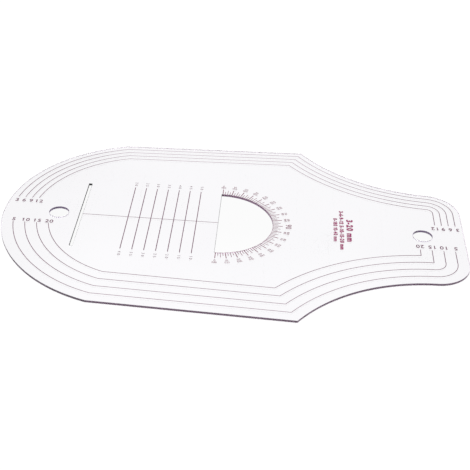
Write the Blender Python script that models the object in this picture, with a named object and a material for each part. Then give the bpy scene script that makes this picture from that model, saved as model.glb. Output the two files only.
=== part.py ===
"""Clear plastic sewing gauge: a flat bottle-shaped plate with printed seam lines.

The plate lies on its back with its printed face up. X runs along it, from the round end to
the square end. The seam lines 5 mm apart are on the -Y side, called the wide side, and the
ones 3 mm apart are on the +Y side, called the fine side. The origin is under the middle of
the plate, on its underside. All sizes are in metres.
"""

import math

import bmesh
import bpy
from mathutils import Vector

# Plate
PLATE_LENGTH = 0.2010
PLATE_THICKNESS = 0.0010
ROUND_END_RADIUS = 0.0652
HEEL_INSET = 0.0029  # how far each heel corner lies inside the round end's full half width
SHOULDER_WIDTH = 0.1323  # across the corners where the sides meet the waists
FINE_SHOULDER_TO_SQUARE_END = 0.0714
FINE_WAIST_RADIUS = 0.0768
FINE_NECK_HALF_WIDTH = 0.0337  # from the axis to the lowest point of the waist's circle
WIDE_SHOULDER_TO_SQUARE_END = 0.0718
WIDE_WAIST_RADIUS = 0.0709
WIDE_NECK_HALF_WIDTH = 0.0352
SQUARE_END_CORNER_RADIUS = 0.0150

# Openings through the plate
HANGING_HOLE_DIAMETER = 0.0085
HOLE_TO_ROUND_END = 0.0239
HOLE_TO_SQUARE_END = 0.0181
PROTRACTOR_TO_ROUND_END = 0.0943
WINDOW_RADIUS = 0.0234
WINDOW_STRIP = 0.0005  # the window's straight edge lies this far behind the protractor's centre
SLOT_TO_PROTRACTOR = 0.0600
SLOT_WIDTH = 0.0014
SLOT_LENGTH = 0.0507

# Printed ink
INK_THICKNESS = 0.00005
SEAM_LINES_PER_SIDE = 4
SEAM_LINE_WIDTH = 0.00027
FINE_SEAM_STEP = 0.003
WIDE_SEAM_STEP = 0.005
FINE_START = 0.0102  # how far from the axis the fine lines start, on the round end
FINE_END = 0.0092  # how far from the axis they end, on the square end
WIDE_START = 0.0097
WIDE_END = 0.0109
GAUGE_TO_SLOT = 0.0200
GAUGE_TO_PROTRACTOR = 0.0100
GAUGE_PITCH = 0.0050
GAUGE_LENGTH = 0.0496
GAUGE_LINE_WIDTH = 0.00033
GAUGE_OFFSET = 0.0004  # from the axis to the centre line, towards the wide side
CENTRE_LINE_WIDTH = 0.00020
CENTRE_LINE_GAP = 0.0001  # bare plastic at each of its ends
TICK_STEPS = 72
TICKS_PER_HALF_MARK = 2
TICKS_PER_MARK = 4
SCALE_GAP = 0.0001  # bare plastic between the window's edge and the hairline
HAIRLINE_WIDTH = 0.00006  # of the line round the window that joins the ticks' feet
TICK_WIDTH = 0.00022
MARK_WIDTH = 0.00032
TICK_REACH = 0.0024  # from the window's edge to the tick's tip
HALF_MARK_REACH = 0.0035
MARK_REACH = 0.0043

# Fineness of the curves, in straight steps
ROUND_END_STEPS = 26
WAIST_STEPS = 20
CORNER_STEPS = 8
HOLE_STEPS = 48
WINDOW_STEPS = 60

# Places that follow from the sizes
ROUND_END_X = -PLATE_LENGTH / 2
SQUARE_END_X = PLATE_LENGTH / 2
ROUND_CENTRE = Vector((ROUND_END_X + ROUND_END_RADIUS, 0))
FINE_SHOULDER = Vector((SQUARE_END_X - FINE_SHOULDER_TO_SQUARE_END, SHOULDER_WIDTH / 2))
WIDE_SHOULDER = Vector((SQUARE_END_X - WIDE_SHOULDER_TO_SQUARE_END, SHOULDER_WIDTH / 2))
FINE_EDGE = (FINE_SHOULDER, FINE_WAIST_RADIUS, FINE_NECK_HALF_WIDTH)
WIDE_EDGE = (WIDE_SHOULDER, WIDE_WAIST_RADIUS, WIDE_NECK_HALF_WIDTH)
HEEL_WIDTH = 2 * (ROUND_END_RADIUS - HEEL_INSET)  # where the round end meets the two sides
HEEL_REACH = math.sqrt(ROUND_END_RADIUS**2 - (HEEL_WIDTH / 2) ** 2)
HEEL = Vector((ROUND_CENTRE.x - HEEL_REACH, HEEL_WIDTH / 2))
PROTRACTOR_CENTRE = Vector((ROUND_END_X + PROTRACTOR_TO_ROUND_END, 0))
WINDOW_EDGE_X = PROTRACTOR_CENTRE.x - WINDOW_STRIP
SLOT_EDGE_X = PROTRACTOR_CENTRE.x - SLOT_TO_PROTRACTOR
CUTTER_MARGIN = PLATE_THICKNESS


def clear_scene():
    for obj in list(bpy.data.objects):
        bpy.data.objects.remove(obj)


def plastic(name, colour, roughness, transmission):
    """A Principled material of one colour."""
    material = bpy.data.materials.new(name)
    material.use_nodes = True
    shader = material.node_tree.nodes["Principled BSDF"]
    shader.inputs["Base Color"].default_value = (*colour, 1)
    shader.inputs["Roughness"].default_value = roughness
    shader.inputs["Metallic"].default_value = 0
    shader.inputs["Transmission Weight"].default_value = transmission
    return material


def flat_solid(name, outline, bottom, top):
    """A plane outline, raised from the height bottom to the height top."""
    shape = bmesh.new()
    corners = [shape.verts.new((point.x, point.y, bottom)) for point in outline]
    face = shape.faces.new(corners)
    raised = bmesh.ops.extrude_face_region(shape, geom=[face])["geom"]
    moved = [item for item in raised if isinstance(item, bmesh.types.BMVert)]
    bmesh.ops.translate(shape, vec=(0, 0, top - bottom), verts=moved)
    bmesh.ops.recalc_face_normals(shape, faces=shape.faces)
    mesh = bpy.data.meshes.new(name)
    shape.to_mesh(mesh)
    shape.free()
    solid = bpy.data.objects.new(name, mesh)
    bpy.context.scene.collection.objects.link(solid)
    return solid


def printed(name, outline, ink):
    """An ink film on the plate's top face."""
    film = flat_solid(name, outline, PLATE_THICKNESS, PLATE_THICKNESS + INK_THICKNESS)
    film.data.materials.append(ink)
    return film


def cut_through(plate, name, outline):
    """Cuts the outline right through the plate."""
    cutter = flat_solid(name, outline, -CUTTER_MARGIN, PLATE_THICKNESS + CUTTER_MARGIN)
    cutter.hide_render = True
    cutter.display_type = "WIRE"
    boolean = plate.modifiers.new(name, "BOOLEAN")
    boolean.operation = "DIFFERENCE"
    boolean.object = cutter


def on_circle(centre, radius, angle):
    return centre + Vector((math.cos(angle), math.sin(angle))) * radius


def arc(centre, radius, start, end, steps):
    """Points along an arc, with both its ends."""
    angles = [start + (end - start) * step / steps for step in range(steps + 1)]
    return [on_circle(centre, radius, angle) for angle in angles]


def angle_to(centre, point):
    """The direction from centre to point, from 0 to a full turn."""
    reach = point - centre
    return math.atan2(reach.y, reach.x) % (2 * math.pi)


def first_meeting(start, along, centre, radius):
    """Where a line that runs along the unit vector along first meets a circle."""
    to_centre = centre - start
    middle = to_centre.dot(along)
    away_squared = to_centre.length_squared - middle**2
    return start + along * (middle - math.sqrt(radius**2 - away_squared))


def below(centre, radius, x):
    """The lower point of a circle at x."""
    return Vector((x, centre.y - math.sqrt(radius**2 - (x - centre.x) ** 2)))


def rectangle(low_x, high_x, low_y, high_y):
    corners = ((low_x, low_y), (high_x, low_y), (high_x, high_y), (low_x, high_y))
    return [Vector(corner) for corner in corners]


def edge_path(edge, inset, start_y, end_y):
    """One long edge of the plate moved inwards by inset, drawn on the +Y side.

    It runs round the round end from start_y to the heel corner, along the side to the
    shoulder corner, down the hollow waist, round the square end's corner and along the
    square end to end_y. Arcs keep their centres, so every inset path is parallel to the edge.
    """
    shoulder_corner, waist_radius, neck_half_width = edge
    along = (shoulder_corner - HEEL).normalized()
    inwards = Vector((along.y, -along.x))
    on_side = HEEL + inwards * inset
    round_radius = ROUND_END_RADIUS - inset
    heel = first_meeting(on_side, along, ROUND_CENTRE, round_radius)

    waist_y = neck_half_width + waist_radius
    waist_reach = math.sqrt(waist_radius**2 - (waist_y - shoulder_corner.y) ** 2)
    waist_centre = Vector((shoulder_corner.x + waist_reach, waist_y))
    hollow_radius = waist_radius + inset
    shoulder = first_meeting(on_side, along, waist_centre, hollow_radius)
    shoulder_angle = angle_to(waist_centre, shoulder)

    start_angle = math.pi - math.asin(start_y / round_radius)
    heel_angle = angle_to(ROUND_CENTRE, heel)
    path = arc(ROUND_CENTRE, round_radius, start_angle, heel_angle, ROUND_END_STEPS)

    end_x = SQUARE_END_X - inset
    corner_radius = SQUARE_END_CORNER_RADIUS - inset
    if corner_radius > 0:
        corner_x = SQUARE_END_X - SQUARE_END_CORNER_RADIUS
        corner_centre = below(waist_centre, waist_radius + SQUARE_END_CORNER_RADIUS, corner_x)
        touch = angle_to(waist_centre, corner_centre)
        path += arc(waist_centre, hollow_radius, shoulder_angle, touch, WAIST_STEPS)
        path += arc(corner_centre, corner_radius, touch - math.pi, 0, CORNER_STEPS)[1:]
    else:
        corner = below(waist_centre, hollow_radius, end_x)
        corner_angle = angle_to(waist_centre, corner)
        path += arc(waist_centre, hollow_radius, shoulder_angle, corner_angle, WAIST_STEPS)
    return path + [Vector((end_x, end_y))]


def mirrored(points):
    """The points on the other side of the plate's axis."""
    return [Vector((point.x, -point.y)) for point in points]


def window_outline():
    """The half-round window: a straight edge, a narrow strip and a half circle."""
    bow = arc(PROTRACTOR_CENTRE, WINDOW_RADIUS, -math.pi / 2, math.pi / 2, WINDOW_STEPS)
    top = Vector((WINDOW_EDGE_X, WINDOW_RADIUS))
    return bow + [top] + mirrored([top])


def make_plate(clear):
    fine = edge_path(FINE_EDGE, 0, 0, 0)
    wide = mirrored(edge_path(WIDE_EDGE, 0, 0, 0))
    plate = flat_solid("plate", fine + wide[-2:0:-1], 0, PLATE_THICKNESS)
    plate.data.materials.append(clear)
    hole_places = {
        "round_end_hole": ROUND_END_X + HOLE_TO_ROUND_END,
        "square_end_hole": SQUARE_END_X - HOLE_TO_SQUARE_END,
    }
    for name, x in hole_places.items():
        round_hole = arc(Vector((x, 0)), HANGING_HOLE_DIAMETER / 2, 0, 2 * math.pi, HOLE_STEPS)
        cut_through(plate, name, round_hole[:-1])
    slot = rectangle(SLOT_EDGE_X - SLOT_WIDTH, SLOT_EDGE_X, -SLOT_LENGTH / 2, SLOT_LENGTH / 2)
    cut_through(plate, "slot", slot)
    cut_through(plate, "window", window_outline())


def make_seam_lines(ink):
    """Each side's printed lines, parallel to the plate's edge at even steps inwards."""
    half = SEAM_LINE_WIDTH / 2
    for number in range(1, SEAM_LINES_PER_SIDE + 1):
        inset = number * FINE_SEAM_STEP
        outer = edge_path(FINE_EDGE, inset - half, FINE_START, FINE_END)
        inner = edge_path(FINE_EDGE, inset + half, FINE_START, FINE_END)
        printed(f"fine_seam_line_{number}", outer + inner[::-1], ink)
        inset = number * WIDE_SEAM_STEP
        outer = edge_path(WIDE_EDGE, inset - half, WIDE_START, WIDE_END)
        inner = edge_path(WIDE_EDGE, inset + half, WIDE_START, WIDE_END)
        printed(f"wide_seam_line_{number}", mirrored(outer + inner[::-1]), ink)


def make_gauge_grid(ink):
    """The centre line from the slot to the window, with its cross lines, as one outline.

    The upper half is drawn from left to right, and the lower half mirrors it. The whole print
    then moves to the wide side by its offset.
    """
    centre_half, half = CENTRE_LINE_WIDTH / 2, GAUGE_LINE_WIDTH / 2
    run = SLOT_TO_PROTRACTOR - GAUGE_TO_SLOT - GAUGE_TO_PROTRACTOR
    count = round(run / GAUGE_PITCH) + 1
    upper = [Vector((SLOT_EDGE_X + CENTRE_LINE_GAP, centre_half))]
    for number in range(count):
        x = SLOT_EDGE_X + GAUGE_TO_SLOT + number * GAUGE_PITCH
        line = rectangle(x - half, x + half, centre_half, GAUGE_LENGTH / 2)
        upper += [line[0], line[3], line[2], line[1]]
    upper.append(Vector((WINDOW_EDGE_X - CENTRE_LINE_GAP, centre_half)))
    offset = Vector((0, GAUGE_OFFSET))
    printed("gauge_grid", [point - offset for point in upper + mirrored(upper[::-1])], ink)


def tick(foot_radius, angle, reach, width):
    """A short line that runs straight out from the hairline at the angle."""
    foot = on_circle(PROTRACTOR_CENTRE, foot_radius, angle)
    tip = on_circle(PROTRACTOR_CENTRE, WINDOW_RADIUS + reach, angle)
    aside = Vector((-math.sin(angle), math.cos(angle))) * width / 2
    return [foot - aside, tip - aside, tip + aside, foot + aside]


def make_protractor_scale(ink):
    """A hairline round the window with a tick at each step, as one outline."""
    inner_radius = WINDOW_RADIUS + SCALE_GAP
    foot_radius = inner_radius + HAIRLINE_WIDTH
    outer = []
    for step in range(TICK_STEPS + 1):
        reach, width = TICK_REACH, TICK_WIDTH
        if step % TICKS_PER_HALF_MARK == 0:
            reach = HALF_MARK_REACH
        if step % TICKS_PER_MARK == 0:
            reach, width = MARK_REACH, MARK_WIDTH
        outer += tick(foot_radius, math.pi * (step / TICK_STEPS - 1 / 2), reach, width)
    quarter = math.pi / 2 + MARK_WIDTH / 2 / inner_radius
    inner = arc(PROTRACTOR_CENTRE, inner_radius, quarter, -quarter, TICK_STEPS)
    printed("protractor_scale", outer + inner, ink)


def main():
    clear_scene()
    clear = plastic("clear_plastic", (0.93, 0.93, 0.95), 0.08, 0.9)
    ink = plastic("plum_grey_ink", (0.075, 0.05, 0.065), 0.45, 0)
    make_plate(clear)
    make_seam_lines(ink)
    make_gauge_grid(ink)
    make_protractor_scale(ink)


main()
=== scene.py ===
import math

import bmesh
import bpy
import numpy as np
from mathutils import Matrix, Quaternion, Vector
from mathutils.geometry import tessellate_polygon


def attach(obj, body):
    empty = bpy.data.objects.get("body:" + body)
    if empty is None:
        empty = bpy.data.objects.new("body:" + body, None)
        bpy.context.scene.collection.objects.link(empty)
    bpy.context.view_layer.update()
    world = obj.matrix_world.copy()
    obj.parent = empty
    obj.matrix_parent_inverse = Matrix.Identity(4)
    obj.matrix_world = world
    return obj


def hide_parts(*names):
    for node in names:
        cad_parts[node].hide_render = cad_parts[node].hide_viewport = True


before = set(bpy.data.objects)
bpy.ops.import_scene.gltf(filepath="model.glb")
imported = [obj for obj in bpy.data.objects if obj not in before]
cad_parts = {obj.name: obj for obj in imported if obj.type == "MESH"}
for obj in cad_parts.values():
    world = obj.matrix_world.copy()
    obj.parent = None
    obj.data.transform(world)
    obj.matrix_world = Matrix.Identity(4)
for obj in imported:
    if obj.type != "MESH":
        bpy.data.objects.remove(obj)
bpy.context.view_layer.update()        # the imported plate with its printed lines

print("frame loaded:", len(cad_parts), "nodes")

# Lengths in the dictionaries below are in millimetres, places are in the frame of the part
mm = 0.001
scene = bpy.context.scene


# The camera stands where the photograph was taken from
cameraSetup = dict(
    place=(13.21, -398.94, 258.90),
    aim=(1.19, -9.22, 1.00),
    roll=2.855,  # degrees, turned about the line of sight
    lens=83.38,
    sensor=36.0,
    nearest=10.0,  # nothing nearer than this is drawn
)


def placeCamera(setup):
    place = Vector(setup["place"]) * mm
    sight = Vector(setup["aim"]) * mm - place
    lens = bpy.data.cameras.new("camera")
    lens.lens = setup["lens"]
    lens.sensor_width = setup["sensor"]
    lens.clip_start = setup["nearest"] * mm
    camera = bpy.data.objects.new("camera", lens)
    roll = Quaternion((0, 0, 1), math.radians(setup["roll"]))
    camera.rotation_mode = "QUATERNION"
    camera.rotation_quaternion = sight.to_track_quat("-Z", "Y") @ roll
    camera.location = place
    scene.collection.objects.link(camera)
    scene.camera = camera


placeCamera(cameraSetup)
scene.view_settings.view_transform = "Standard"
print("camera placed")


# Shader sums written as plain expressions
class Wire:  # a node's output that can stand in a sum
    def __init__(self, graph, socket):
        self.graph = graph
        self.socket = socket

    def sum(self, operation, first, second):
        return self.graph.node("Math", {"operation": operation}, {0: first, 1: second})

    def __add__(self, other):
        return self.sum("ADD", self, other)

    def __sub__(self, other):
        return self.sum("SUBTRACT", self, other)

    def __rsub__(self, other):
        return self.sum("SUBTRACT", other, self)

    def __mul__(self, other):
        return self.sum("MULTIPLY", self, other)

    def __abs__(self):
        return self.sum("ABSOLUTE", self, 0)

    def orMore(self, other):
        return self.sum("MAXIMUM", self, other)

    __radd__ = __add__
    __rmul__ = __mul__


class Graph:  # the nodes of one material, of the floor or of the world
    def __init__(self, tree):
        self.tree = tree

    def feed(self, socket, value):
        if isinstance(value, Wire):
            self.tree.links.new(value.socket, socket)
        else:
            socket.default_value = value

    def node(self, kind, settings, sockets, output=0):
        made = self.tree.nodes.new("ShaderNode" + kind)
        for name, value in settings.items():
            setattr(made, name, value)
        for socket, value in sockets.items():
            self.feed(made.inputs[socket], value)
        return Wire(self, made.outputs[output])

    def places(self, stretch=(1, 1, 1), turn=0):
        # Object coordinates, turned about Z and stretched
        own = self.node("TexCoord", {}, {}, "Object")
        sockets = {"Vector": own, "Rotation": (0, 0, math.radians(turn)), "Scale": stretch}
        return self.node("Mapping", {}, sockets)

    def noise(self, scale, detail, where):
        return self.node("TexNoise", {}, {"Vector": where, "Scale": scale, "Detail": detail})

    def split(self, where):
        # The X and the Y of a place
        return [self.node("SeparateXYZ", {}, {0: where}, axis) for axis in (0, 1)]

    def ramp(self, value, low, high, toLow=0.0, toHigh=1.0):
        sockets = {"Value": value, "From Min": low, "From Max": high,
                   "To Min": toLow, "To Max": toHigh}
        return self.node("MapRange", {"interpolation_type": "SMOOTHSTEP"}, sockets)

    def rampOver(self, place, ends):
        # From 0 to 1 between two places in millimetres
        return self.ramp(place, *[end * mm for end in ends])

    def patches(self, pattern, where):
        # Noise of a scale and a detail, which shows from 0 to 1 between two of its values
        scale, detail, low, high = pattern
        return self.ramp(self.noise(scale, detail, where), low, high)

    def mixColours(self, share, first, second):
        # The Mix node has its colours at inputs 6 and 7 and at output 2
        return self.node("Mix", {"data_type": "RGBA"}, {0: share, 6: first, 7: second}, 2)

    def bump(self, height, strength, depth):
        # The depth is in millimetres
        sockets = {"Height": height, "Strength": strength, "Distance": depth * mm}
        return self.node("Bump", {}, sockets)


def newFinish(name, constants):
    # A material with a Principled shader, and its graph
    material = bpy.data.materials.new(name)
    material.use_nodes = True
    shader = material.node_tree.nodes["Principled BSDF"]
    for socket, value in constants.items():
        shader.inputs[socket].default_value = value
    return material, shader.inputs, Graph(material.node_tree)


# The room: a white floor, even white light and one soft lamp
room = dict(
    floorHalf=2500.0,
    floorDrop=0.1,  # the floor lies this far below the plate, so no two faces share a plane
    floorColour=(0.9, 0.9, 0.9, 1),
    floorGlow=(1.12, 0.75),  # strength and share of what is seen directly, beside the shade
    # The sheet under the plate glows a little less than the floor: painted shade for the plate's
    # shadow
    paintedShadeGlow=(0.965, 1.0),
    paintedShadeDrop=0.05,  # the sheet of painted shade lies between the floor and the plate
    paintedShadeInset=0.3,  # from the plate's outline
    paintedShadeTones=(1.0, 1.030, 0.975),  # painted shade, in the middle, towards the near side and at the ends
    nearSide=(2.0, -42.0),  # places along Y over which the painted shade gets paler
    roundEnd=(-50.0, -95.0),  # places along X over which the painted shade gets darker
    squareEnd=(50.0, 95.0),
    squareEndShare=0.6,
    skyLevel=0.8,  # of the even light
    lampPlace=(-500.0, 350.0, 1050.0),
    lampSide=900.0,
    lampPower=3.4,  # in watts
)


def seenDirectly(graph):
    # 1 for rays that show a surface as it is: from the camera, off gloss and through glass
    camera, gloss, glass = [graph.node("LightPath", {}, {}, name) for name in
                            ("Is Camera Ray", "Is Glossy Ray", "Is Transmission Ray")]
    return camera.orMore(gloss.orMore(glass))


def paperTone(graph, setup):
    # The sheet's white, painted shade that is a little paler towards the camera and darker at
    # both ends
    x, y = graph.split(graph.places())
    middle, near, end = [(tone, tone, tone, 1) for tone in setup["paintedShadeTones"]]
    nearShare = graph.rampOver(y, setup["nearSide"])
    roundShare = graph.rampOver(x, setup["roundEnd"])
    squareShare = graph.rampOver(x, setup["squareEnd"])
    endShare = squareShare * setup["squareEndShare"] + roundShare
    return graph.mixColours(endShare, graph.mixColours(nearShare, middle, near), end)


def makeGround(name, corners, faces, glow, tone=None):
    # A flat white backdrop, in millimetres, that shows its glow directly and keeps shadows
    mesh = bpy.data.meshes.new(name)
    mesh.from_pydata((np.array(corners) * mm).tolist(), [], faces)
    ground = bpy.data.objects.new(name, mesh)
    scene.collection.objects.link(ground)

    material = bpy.data.materials.new("white " + name)
    material.use_nodes = True
    graph = Graph(material.node_tree)
    graph.tree.nodes.remove(graph.tree.nodes["Principled BSDF"])
    shade = graph.node("BsdfDiffuse", {}, {"Color": room["floorColour"]})
    strength, directShare = glow
    colour = tone(graph, room) if tone else (1, 1, 1, 1)
    light = graph.node("Emission", {}, {"Color": colour, "Strength": strength})
    share = seenDirectly(graph) * directShare
    blend = graph.node("MixShader", {}, {0: share, 1: shade, 2: light})
    graph.feed(graph.tree.nodes["Material Output"].inputs["Surface"], blend)
    mesh.materials.append(material)


def makeRoom(setup):
    half, drop = setup["floorHalf"], -setup["floorDrop"]
    corners = [(-half, -half, drop), (half, -half, drop), (half, half, drop), (-half, half, drop)]
    makeGround("floor", corners, [(0, 1, 2, 3)], setup["floorGlow"])

    world = bpy.data.worlds.new("even light")
    world.use_nodes = True
    scene.world = world
    sky = Graph(world.node_tree)
    background = world.node_tree.nodes["Background"]
    background.inputs["Color"].default_value = (1, 1, 1, 1)
    level = setup["skyLevel"]
    sky.feed(background.inputs["Strength"], seenDirectly(sky) * (1 - level) + level)

    light = bpy.data.lights.new("soft lamp", "AREA")
    light.size = setup["lampSide"] * mm
    light.energy = setup["lampPower"]
    lamp = bpy.data.objects.new("soft lamp", light)
    lamp.location = Vector(setup["lampPlace"]) * mm
    lamp.rotation_euler = (-lamp.location).to_track_quat("-Z", "Y").to_euler()
    scene.collection.objects.link(lamp)


makeRoom(room)
print("room lit")


# The plate: a clear plastic sheet with cut edges
plate = dict(
    length=201.0,
    thickness=1.0,
    roundEndRadius=65.2,
    heelInset=2.9,  # how far each heel corner lies inside the round end's full half width
    shoulderWidth=132.3,
    fineWaist=(71.4, 76.8, 33.7),  # shoulder to square end, radius, half width at the neck
    wideWaist=(71.8, 70.9, 35.2),
    cornerRadius=15.0,
    holeRadius=4.25,
    roundEndHole=23.9,  # from the round end
    squareEndHole=18.1,  # from the square end
    protractor=94.3,  # its centre, from the round end
    windowRadius=23.4,
    windowStrip=0.5,
    slotToProtractor=60.0,
    slotWidth=1.4,
    slotLength=50.7,
    edgeRadius=0.07,  # of the rounding where the cut edges meet the faces
    edgeSteps=4,
    arcSteps=96,
)


def arcRun(centre, radius, start, end, steps):
    # centre + radius (cos a, sin a), with the angle a running evenly from start to end
    a = np.linspace(start, end, steps)
    return np.column_stack((centre[0] + radius * np.cos(a), centre[1] + radius * np.sin(a)))


def halfOutline(size, waist):
    # One long edge on the +Y side, from the tip of the round end to the middle of the square end:
    # an arc of the round end, a straight run from its heel to the shoulder, an arc of the waist,
    # whose circle passes through the shoulder and is centred the neck plus its radius from the
    # axis, and an arc of the corner, whose circle touches the waist's and the square end
    steps = size["arcSteps"]
    radius = size["roundEndRadius"]
    centre = (radius - size["length"] / 2, 0)
    heelY = radius - size["heelInset"]
    heelAngle = math.pi - math.asin(heelY / radius)

    squareX = size["length"] / 2
    toSquareEnd, waistRadius, neck = waist
    shoulder = (squareX - toSquareEnd, size["shoulderWidth"] / 2)
    waistY = neck + waistRadius
    waistX = shoulder[0] + math.sqrt(waistRadius**2 - (waistY - shoulder[1]) ** 2)

    cornerX = squareX - size["cornerRadius"]
    reach = waistRadius + size["cornerRadius"]
    cornerY = waistY - math.sqrt(reach**2 - (cornerX - waistX) ** 2)
    shoulderTurn = math.atan2(shoulder[1] - waistY, shoulder[0] - waistX) % (2 * math.pi)
    touch = math.atan2(cornerY - waistY, cornerX - waistX) % (2 * math.pi)
    return np.concatenate((
        arcRun(centre, radius, math.pi, heelAngle, steps),
        arcRun((waistX, waistY), waistRadius, shoulderTurn, touch, steps),
        arcRun((cornerX, cornerY), size["cornerRadius"], touch - math.pi, 0, steps // 3)[1:],
        [(squareX, 0)],
    ))


def plateLoops(size):
    # The closed loops of the plate, each with the plastic on its left: the outline runs
    # anticlockwise, the openings clockwise
    mirror = np.array((1, -1))
    near = halfOutline(size, size["wideWaist"]) * mirror
    far = halfOutline(size, size["fineWaist"])
    left, right = -size["length"] / 2, size["length"] / 2
    centre = left + size["protractor"]
    turns = -2 * math.pi * np.arange(size["arcSteps"]) / size["arcSteps"]
    ring = size["holeRadius"] * np.column_stack((np.cos(turns), np.sin(turns)))
    windowHalf = size["windowRadius"]
    bow = arcRun((centre, 0), windowHalf, math.pi / 2, -math.pi / 2, size["arcSteps"])
    straight = centre - size["windowStrip"]
    slotRight, slotHalf = centre - size["slotToProtractor"], size["slotLength"] / 2
    slotLeft = slotRight - size["slotWidth"]
    return [
        np.concatenate((near, far[-2:0:-1])),
        ring + (left + size["roundEndHole"], 0),
        ring + (right - size["squareEndHole"], 0),
        np.array(((slotLeft, -slotHalf), (slotLeft, slotHalf),
                  (slotRight, slotHalf), (slotRight, -slotHalf))),
        np.concatenate((bow, [(straight, -windowHalf), (straight, windowHalf)])),
    ]


def inwardSteps(loop):
    # At each corner of a closed loop, the step that moves both its sides inwards by 1: the sum
    # of the two sides' left normals over 1 + their dot product
    side = np.roll(loop, -1, axis=0) - loop
    side /= np.linalg.norm(side, axis=1, keepdims=True)
    left = np.column_stack((-side[:, 1], side[:, 0]))
    before = np.roll(left, 1, axis=0)
    return (before + left) / (1 + np.sum(before * left, axis=1, keepdims=True))


def edgeProfile(size):
    # Pairs (inset, height) up the cut edge, with a quarter circle at its foot and at its head
    a = np.linspace(0, math.pi / 2, size["edgeSteps"])
    inset = size["edgeRadius"] * (1 - np.sin(a))
    height = size["edgeRadius"] * (1 - np.cos(a))
    foot = np.column_stack((inset, height))
    head = np.column_stack((inset, size["thickness"] - height))[::-1]
    return np.concatenate((foot, head))


def wallGrid(loop, profile):
    # Point (i, j) is the loop's corner i, moved inwards and upwards by the profile's pair j
    flat = loop[:, None, :] + inwardSteps(loop)[:, None, :] * profile[None, :, :1]
    height = np.broadcast_to(profile[None, :, 1:], (*flat.shape[:2], 1))
    return np.concatenate((flat, height), axis=2)


def gridFaces(rows, columns, first):
    # Four corners for each cell of a grid that closes on itself along its rows
    i, j = np.meshgrid(np.arange(rows), np.arange(columns - 1), indexing="ij")
    ahead = (i + 1) % rows
    corners = (i * columns + j, ahead * columns + j, ahead * columns + j + 1, i * columns + j + 1)
    return first + np.stack(corners, axis=-1).reshape(-1, 4)


def capFaces(loops, up):
    # Triangles that fill the first loop around the others, turned to face up or down
    flat = np.concatenate(loops)
    filled = np.array(tessellate_polygon([[(x, y, 0) for x, y in loop] for loop in loops]))
    a, b, c = flat[filled[:, 0]], flat[filled[:, 1]], flat[filled[:, 2]]
    area = (b[:, 0] - a[:, 0]) * (c[:, 1] - a[:, 1]) - (b[:, 1] - a[:, 1]) * (c[:, 0] - a[:, 0])
    turned = (area > 0) != up
    filled[turned] = filled[turned][:, ::-1]
    return filled


def edgeFinishes(size, loops):
    # The number of each wall's finish, in the order of the loops. The outline starts and ends at
    # the tip of the round end, and the window starts with its bow.
    cut, hole, bowed, straight, rounded = range(1, 6)
    outline, firstHole, secondHole, slot, window = [len(loop) for loop in loops]
    bow = size["arcSteps"] - 1
    finishes, counts = zip(
        (rounded, bow), (cut, outline - 2 * bow), (rounded, bow),
        (hole, firstHole + secondHole),
        (straight, slot),
        (bowed, bow), (straight, window - bow),
    )
    return np.repeat(finishes, counts)


def makePlate(size, finishes):
    profile = edgeProfile(size)
    columns = len(profile)
    loops = plateLoops(size)
    grids = [wallGrid(loop, profile) for loop in loops]
    starts = np.cumsum([0] + [len(grid) * columns for grid in grids[:-1]])
    walls = np.concatenate([gridFaces(len(grid), columns, start)
                            for grid, start in zip(grids, starts)])
    rims = np.concatenate([start + np.arange(len(grid)) * columns
                           for grid, start in zip(grids, starts)])
    under = rims[capFaces([grid[:, 0, :2] for grid in grids], False)]
    top = rims[capFaces([grid[:, -1, :2] for grid in grids], True)] + columns - 1
    points = np.concatenate([grid.reshape(-1, 3) for grid in grids]) * mm

    mesh = bpy.data.meshes.new("plate_sheet")
    mesh.from_pydata(points.tolist(), [], walls.tolist() + under.tolist() + top.tolist())
    finish = np.zeros(len(mesh.polygons), dtype=np.int32)
    finish[:len(walls)] = np.repeat(edgeFinishes(size, loops), columns - 1)
    mesh.polygons.foreach_set("use_smooth", finish > 0)
    mesh.polygons.foreach_set("material_index", finish)
    for material in finishes:
        mesh.materials.append(material)
    sheet = bpy.data.objects.new("plate_sheet", mesh)
    scene.collection.objects.link(sheet)
    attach(sheet, "root")
    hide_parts("plate")
    return sheet


def makePaper(setup, size):
    # Painted shade under the plate: the plate's outline moved inwards, filled flat, glowing a
    # little darker than the floor
    outline = plateLoops(size)[0]
    outline = outline + inwardSteps(outline) * setup["paintedShadeInset"]
    height = np.full((len(outline), 1), -setup["paintedShadeDrop"])
    faces = capFaces([outline], True).tolist()
    corners = np.concatenate((outline, height), axis=1)
    makeGround("paintedShade", corners, faces, setup["paintedShadeGlow"], paperTone)


# Painted shade under the plate, for its shadow on the floor
makePaper(room, plate)


# A pattern is the scale and the detail of a noise, and the two values between which it shows
clearSheet = dict(
    colour=(0.980, 0.972, 0.992, 1),
    handled=(0.962, 0.954, 0.974, 1),
    handling=(11.0, 2.0, 0.42, 0.74),  # pattern
    ior=1.53,
    roughness=0.02,
    smudges=(34.0, 3.0, 0.52, 0.72),  # pattern
    smudge=0.10,  # added to the roughness where fingers have been
    scratches=(  # turn in degrees, pattern
        (24, (620.0, 1.0, 0.70, 0.73)),
        (-57, (540.0, 1.0, 0.71, 0.74)),
    ),
    scratchLength=50.0,  # in widths
    scratch=0.12,  # added to the roughness along scratches
    waves=(45.0, 1.0),  # scale and detail
    waveShare=0.2,  # of the bump, beside the scratches
    bump=(0.15, 0.02),  # strength and depth
)
cutMarks = dict(
    scale=7000.0,
    detail=2.0,
    stretch=0.03,  # along Z, because the cutter's marks run up the edge
    shows=(0.35, 0.68),
    roughness=0.2,  # from the smoothest to the roughest
    bump=(0.15, 0.03),
)
# The cut edges' colours are partly the plastic's own edge tint and partly painted shade: each is
# set to how dark its rim looks
cutEdge = dict(
    name="cut edge",
    colour=(0.90, 0.55, 0.86, 1),
    lighter=(1.00, 0.66, 1.00, 1),
    clear=0.86,  # the share that lets light through
    ior=1.45,
    roughness=0.3,
)
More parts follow.
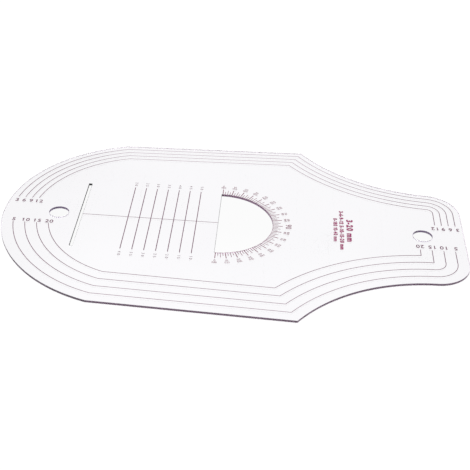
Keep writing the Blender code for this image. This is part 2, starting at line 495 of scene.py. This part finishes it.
# Painted shade for the rims of the holes
holeEdge = dict(
    name="edge of the holes",
    colour=(0.70, 0.54, 0.84, 1),
    lighter=(0.82, 0.65, 0.96, 1),
    clear=0.74,
    ior=1.2,  # the drilled edge mirrors little
    roughness=0.3,
)
# Painted shade for the rim of the window
windowEdge = dict(
    name="edge of the window",
    colour=(0.94, 0.56, 0.90, 1),
    lighter=(1.0, 0.72, 1.0, 1),
    clear=0.77,
    ior=1.2,
    roughness=0.3,
)
# Painted shade for the slot's rim: grey and nearly clear, so it shows little
straightEdge = dict(
    name="edge of the slot",
    colour=(0.80, 0.80, 0.82, 1),
    lighter=(0.96, 0.96, 0.98, 1),
    clear=0.94,
    ior=1.07,
    roughness=0.3,
)
# Painted shade for the rim round the round end, darker than the cut edge
roundEdge = dict(
    name="edge of the round end",
    colour=(0.72, 0.54, 0.73, 1),
    lighter=(0.86, 0.68, 0.88, 1),
    clear=0.85,
    ior=1.25,
    roughness=0.3,
)


def scratchMarks(graph, look):
    # Long thin marks in two directions: stretched noise, of which only the crests show
    stretch = (1, 1 / look["scratchLength"], 1)
    first, second = [graph.patches(pattern, graph.places(stretch, turn))
                     for turn, pattern in look["scratches"]]
    return first + second


def clearFinish(look):
    constants = {"IOR": look["ior"], "Transmission Weight": 1.0}
    material, sockets, graph = newFinish("clear plastic", constants)
    here = graph.places()
    smudges = graph.patches(look["smudges"], here)
    scratches = scratchMarks(graph, look)
    handled = graph.patches(look["handling"], here)
    graph.feed(sockets["Base Color"], graph.mixColours(handled, look["colour"], look["handled"]))
    roughness = smudges * look["smudge"] + scratches * look["scratch"] + look["roughness"]
    graph.feed(sockets["Roughness"], roughness)
    waves = graph.noise(*look["waves"], here)
    height = waves * look["waveShare"] - scratches
    graph.feed(sockets["Normal"], graph.bump(height, *look["bump"]))
    return material


def cutEdgeFinish(look, marking):
    constants = {"IOR": look["ior"], "Transmission Weight": look["clear"]}
    material, sockets, graph = newFinish(look["name"], constants)
    upright = graph.places((1, 1, marking["stretch"]))
    marks = graph.noise(marking["scale"], marking["detail"], upright)
    shade = graph.ramp(marks, *marking["shows"])
    graph.feed(sockets["Base Color"], graph.mixColours(shade, look["colour"], look["lighter"]))
    smoothest = look["roughness"] - marking["roughness"] / 2
    graph.feed(sockets["Roughness"], marks * marking["roughness"] + smoothest)
    graph.feed(sockets["Normal"], graph.bump(marks, *marking["bump"]))
    return material


cutEdges = (cutEdge, holeEdge, windowEdge, straightEdge, roundEdge)
plateFinishes = [clearFinish(clearSheet)] + [cutEdgeFinish(edge, cutMarks) for edge in cutEdges]
plateSheet = makePlate(plate, plateFinishes)
print("plate made:", len(plateSheet.data.polygons), "faces")


# The ink
film = dict(bottom=0.99, top=1.05)  # heights; the foot is just inside the plastic
seamInk = dict(
    name="dusk ink of the seam lines",
    colour=(0.135, 0.030, 0.080, 1),
    worn=(0.21, 0.08, 0.14, 1),
    rubbed=(0.51, 0.38, 0.455, 1),  # where hands have thinned the ink
    sides=(22.0, 58.0),  # distances from the axis over which the rubbing comes in
    roundEnd=(-80.0, -45.0),  # places along X over which it comes in on the sides
    waist=(5.0, 35.0, 60.0, 76.0),  # places where it comes in and goes out again on the waist
    waistShare=0.55,  # of the rubbing on the sides
    shares=(0.60, 0.85),  # of the wide side and of the fine side
    change=0.5,  # either side of the axis, where the one share becomes the other
)
duskInk = dict(name="dusk ink", colour=(0.135, 0.030, 0.080, 1), worn=(0.21, 0.08, 0.14, 1))
plumInk = dict(name="plum ink", colour=(0.200, 0.030, 0.080, 1), worn=(0.27, 0.07, 0.14, 1))
crimsonInk = dict(name="crimson ink", colour=(0.31, 0.010, 0.110, 1), worn=(0.43, 0.05, 0.20, 1))
inkGrain = dict(
    worn=(900.0, 3.0, 0.45, 0.75),  # pattern
    grain=(7000.0, 2.0),  # scale and detail
    roughness=0.38,
    roughening=0.25,  # added to it by the grain
    bump=(0.2, 0.01),
    gloss=0.4,
)


def rubbedShare(graph, look, here):
    # More along the long sides and round the waist, less on the wide side than on the fine side
    x, y = graph.split(here)
    comesIn, full, stays, goesOut = look["waist"]
    waist = graph.rampOver(x, (comesIn, full)) * graph.rampOver(x, (goesOut, stays))
    waist *= look["waistShare"]
    sides = graph.rampOver(abs(y), look["sides"]) * graph.rampOver(x, look["roundEnd"])
    seam = look["change"] * mm
    share = graph.ramp(y, -seam, seam, *look["shares"])
    return waist.orMore(sides) * share


def inkFinish(look, surface):
    constants = {"Specular IOR Level": surface["gloss"]}
    material, sockets, graph = newFinish(look["name"], constants)
    here = graph.places()
    worn = graph.patches(surface["worn"], here)
    colour = graph.mixColours(worn, look["colour"], look["worn"])
    if "rubbed" in look:
        colour = graph.mixColours(rubbedShare(graph, look, here), colour, look["rubbed"])
    graph.feed(sockets["Base Color"], colour)
    grain = graph.noise(*surface["grain"], here)
    graph.feed(sockets["Roughness"], grain * surface["roughening"] + surface["roughness"])
    graph.feed(sockets["Normal"], graph.bump(grain, *surface["bump"]))
    return material


inks = {ink: inkFinish(look, inkGrain) for ink, look in
        dict(seam=seamInk, dusk=duskInk, plum=plumInk, crimson=crimsonInk).items()}
nodeInks = dict(gauge_grid="dusk", protractor_scale="plum")
for name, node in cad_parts.items():
    if name != "plate":
        node.data.materials.clear()
        node.data.materials.append(inks[nodeInks.get(name, "seam")])
print("ink on the printed lines")


# The numerals
digitShape = dict(
    height=0.70,  # of a digit of the built-in font, at size 1
    width=0.44,
    middle=0.041,  # the middle of its height, above the font's own middle
    stroke=0.098,
    smoothness=4,
    merge=1e-4,  # points nearer to each other than this become one
)
oneOutline = np.array((  # the figure one, drawn with a flag, in shares of a digit's height
    (0.06, -0.5), (0.06, 0.5), (-0.04, 0.5), (-0.10, 0.39), (-0.22, 0.33),
    (-0.22, 0.22), (-0.08, 0.27), (-0.08, -0.5),
))
glyphs = {}


def prism(outline):
    # An outline raised from 0 to 1: its corners twice, a foot, a head and a wall for each side
    count = len(outline)
    this = np.arange(count)
    after = (this + 1) % count
    points = np.column_stack((np.tile(outline, (2, 1)), np.repeat((0, 1), count)))
    walls = np.column_stack((this, after, after + count, this + count))
    mesh = bpy.data.meshes.new("letter")
    foot, head = this[::-1].tolist(), (this + count).tolist()
    mesh.from_pydata(points.tolist(), [], walls.tolist() + [foot, head])
    return mesh


def fontShape(letter, weight):
    # A letter of the built-in font, its strokes widened by weight on each side
    curve = bpy.data.curves.new("letter", "FONT")
    curve.body = letter
    curve.align_x = curve.align_y = "CENTER"
    curve.extrude = 0.5
    curve.offset = weight
    curve.resolution_u = digitShape["smoothness"]
    drawn = bpy.data.objects.new("letter", curve)
    scene.collection.objects.link(drawn)
    settled = drawn.evaluated_get(bpy.context.evaluated_depsgraph_get())
    mesh = bpy.data.meshes.new_from_object(settled)
    bpy.data.objects.remove(drawn)
    bpy.data.curves.remove(curve)
    return mesh


def closedTriangles(mesh):
    # The points and the triangles of a mesh whose doubles are merged, faces outward
    shape = bmesh.new()
    shape.from_mesh(mesh)
    bmesh.ops.remove_doubles(shape, verts=shape.verts, dist=digitShape["merge"])
    bmesh.ops.triangulate(shape, faces=shape.faces)
    bmesh.ops.recalc_face_normals(shape, faces=shape.faces)
    shape.to_mesh(mesh)
    shape.free()
    points = np.empty((len(mesh.vertices), 3), dtype=np.float32)
    triangles = np.empty((len(mesh.polygons), 3), dtype=np.int32)
    mesh.vertices.foreach_get("co", points.ravel())
    mesh.loops.foreach_get("vertex_index", triangles.ravel())
    bpy.data.meshes.remove(mesh)
    return points.astype(float), triangles


def glyph(letter, weight):
    # A letter of height 1, centred, raised from 0 to 1, kept for the next time it is wanted
    key = (letter, weight)
    if key not in glyphs:
        if letter == "1":
            widening = 1 + 2 * weight / digitShape["stroke"]
            glyphs[key] = closedTriangles(prism(oneOutline * (widening, 1)))
        else:
            points, triangles = closedTriangles(fontShape(letter, weight))
            height = digitShape["height"]
            points = (points - (0, digitShape["middle"], -0.5)) / (height, height, 1)
            glyphs[key] = points, triangles
    return glyphs[key]


def printLabels(name, ink, labels):
    # One piece from labels (text, place of its middle, turn in degrees, style). The letters of a
    # text stand at the style's pitch, or side by side with its gap between them.
    points, triangles, count = [], [], 0
    for text, place, turn, style in labels:
        c, s = math.cos(math.radians(turn)), math.sin(math.radians(turn))
        wide = style["width"] / digitShape["width"] * digitShape["height"]
        stretch = np.array((wide, style["height"]))
        letters = [glyph(letter, style.get("weight", 0.0)) for letter in text if letter != " "]
        lows = [shape[:, 0].min() * stretch[0] for shape, _ in letters]
        highs = [shape[:, 0].max() * stretch[0] for shape, _ in letters]
        if "pitch" in style:
            starts = [k * style["pitch"] for k in range(len(letters))]
            middle = starts[-1] / 2
        else:
            starts, x = [], 0
            for letter in text:
                if letter == " ":
                    x += style["blank"]
                else:
                    k = len(starts)
                    starts.append(x - lows[k])
                    x += highs[k] - lows[k] + style["gap"]
            middle = (x - style["gap"]) / 2
        for (shape, faces), start in zip(letters, starts):
            flat = shape[:, :2] * stretch + (start - middle, 0)
            flat = flat @ np.array(((c, s), (-s, c))) + place
            height = film["bottom"] + shape[:, 2:] * (film["top"] - film["bottom"])
            points.append(np.concatenate((flat, height), axis=1))
            triangles.append(faces + count)
            count += len(shape)
    mesh = bpy.data.meshes.new(name)
    mesh.from_pydata((np.concatenate(points) * mm).tolist(), [],
                     np.concatenate(triangles).tolist())
    mesh.materials.append(inks[ink])
    labelled = bpy.data.objects.new(name, mesh)
    scene.collection.objects.link(labelled)
    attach(labelled, "root")
    return labelled


seamNumerals = dict(  # at each end, the place along Y and the places along X
    style=dict(height=2.3, width=1.5, pitch=1.9, weight=0.012),
    fine=dict(
        values=(3, 6, 9, 12),
        roundEnd=(7.6, (-96.8, -93.7, -90.6, -87.1)),
        squareEnd=(6.3, (98.3, 95.1, 92.0, 88.4)),
    ),
    wide=dict(
        values=(5, 10, 15, 20),
        roundEnd=(-8.0, (-94.7, -89.6, -84.6, -79.4)),
        squareEnd=(-8.5, (95.9, 90.8, 85.8, 80.6)),
    ),
)


def printSeamNumerals(setup, side):
    labels = []
    for end, turn in (("roundEnd", 0), ("squareEnd", 180)):
        y, xs = setup[side][end]
        labels += [(str(value), (x, y), turn, setup["style"])
                   for value, x in zip(setup[side]["values"], xs)]
    printLabels(side + "_seam_numerals", "dusk", labels)


gaugeNumerals = dict(
    firstLine=-46.1, pitch=5.0, lines=7,
    fromSlot=20, fromProtractor=40, step=5,
    farY=27.5, nearY=-28.55, turn=-90,
    style=dict(height=1.25, width=0.95, gap=1.05, weight=-0.010),
)


def printGaugeNumerals(setup):
    turn, style = setup["turn"], setup["style"]
    labels = []
    for line in range(setup["lines"]):
        x = setup["firstLine"] + line * setup["pitch"]
        fromSlot = setup["fromSlot"] + line * setup["step"]
        fromProtractor = setup["fromProtractor"] - line * setup["step"]
        labels.append((str(fromSlot), (x, setup["farY"]), turn, style))
        labels.append((str(fromProtractor), (x, setup["nearY"]), turn, style))
    printLabels("gauge_numerals", "dusk", labels)


protractorNumerals = dict(
    centre=-6.2, last=180, step=10, innerRow=29.2, outerRow=30.6,
    style=dict(height=1.1, width=0.8, gap=0.15, weight=-0.008),
    rightAngle=dict(radius=30.3, style=dict(height=2.6, width=1.5, gap=0.4)),
)


def printProtractorNumerals(setup):
    centre, last, middle = setup["centre"], setup["last"], setup["rightAngle"]
    labels = [("90", (centre + middle["radius"], 0), -90, middle["style"])]
    for angle in range(0, last + 1, setup["step"]):
        turn = angle - 90  # from +X; the inner row counts from the near end, the outer row back
        c, s = math.cos(math.radians(turn)), math.sin(math.radians(turn))
        for radius, value in ((setup["innerRow"], angle), (setup["outerRow"], last - angle)):
            if angle != 90:
                place = (centre + radius * c, radius * s)
                labels.append((str(value), place, turn - 90, setup["style"]))
    printLabels("protractor_numerals", "plum", labels)


legend = dict(
    turn=-90,
    rows=(  # text, place of its middle, style
        ("3-20 mm", (50.8, 0.2),
         dict(height=2.6, width=1.75, gap=0.45, blank=1.6, weight=0.050)),
        ("3-6-9-12 5-10-15-20 mm", (47.25, 0.4),
         dict(height=1.7, width=1.10, gap=0.25, blank=0.9, weight=0.055)),
        ("0-180 10-40 mm", (44.55, 0.3),
         dict(height=1.7, width=1.04, gap=0.23, blank=0.8, weight=0.042)),
    ),
)


def printLegend(setup):
    labels = [(text, place, setup["turn"], style) for text, place, style in setup["rows"]]
    printLabels("legend", "crimson", labels)


printSeamNumerals(seamNumerals, "fine")
printSeamNumerals(seamNumerals, "wide")
printGaugeNumerals(gaugeNumerals)
printProtractorNumerals(protractorNumerals)
printLegend(legend)
print("numerals printed")
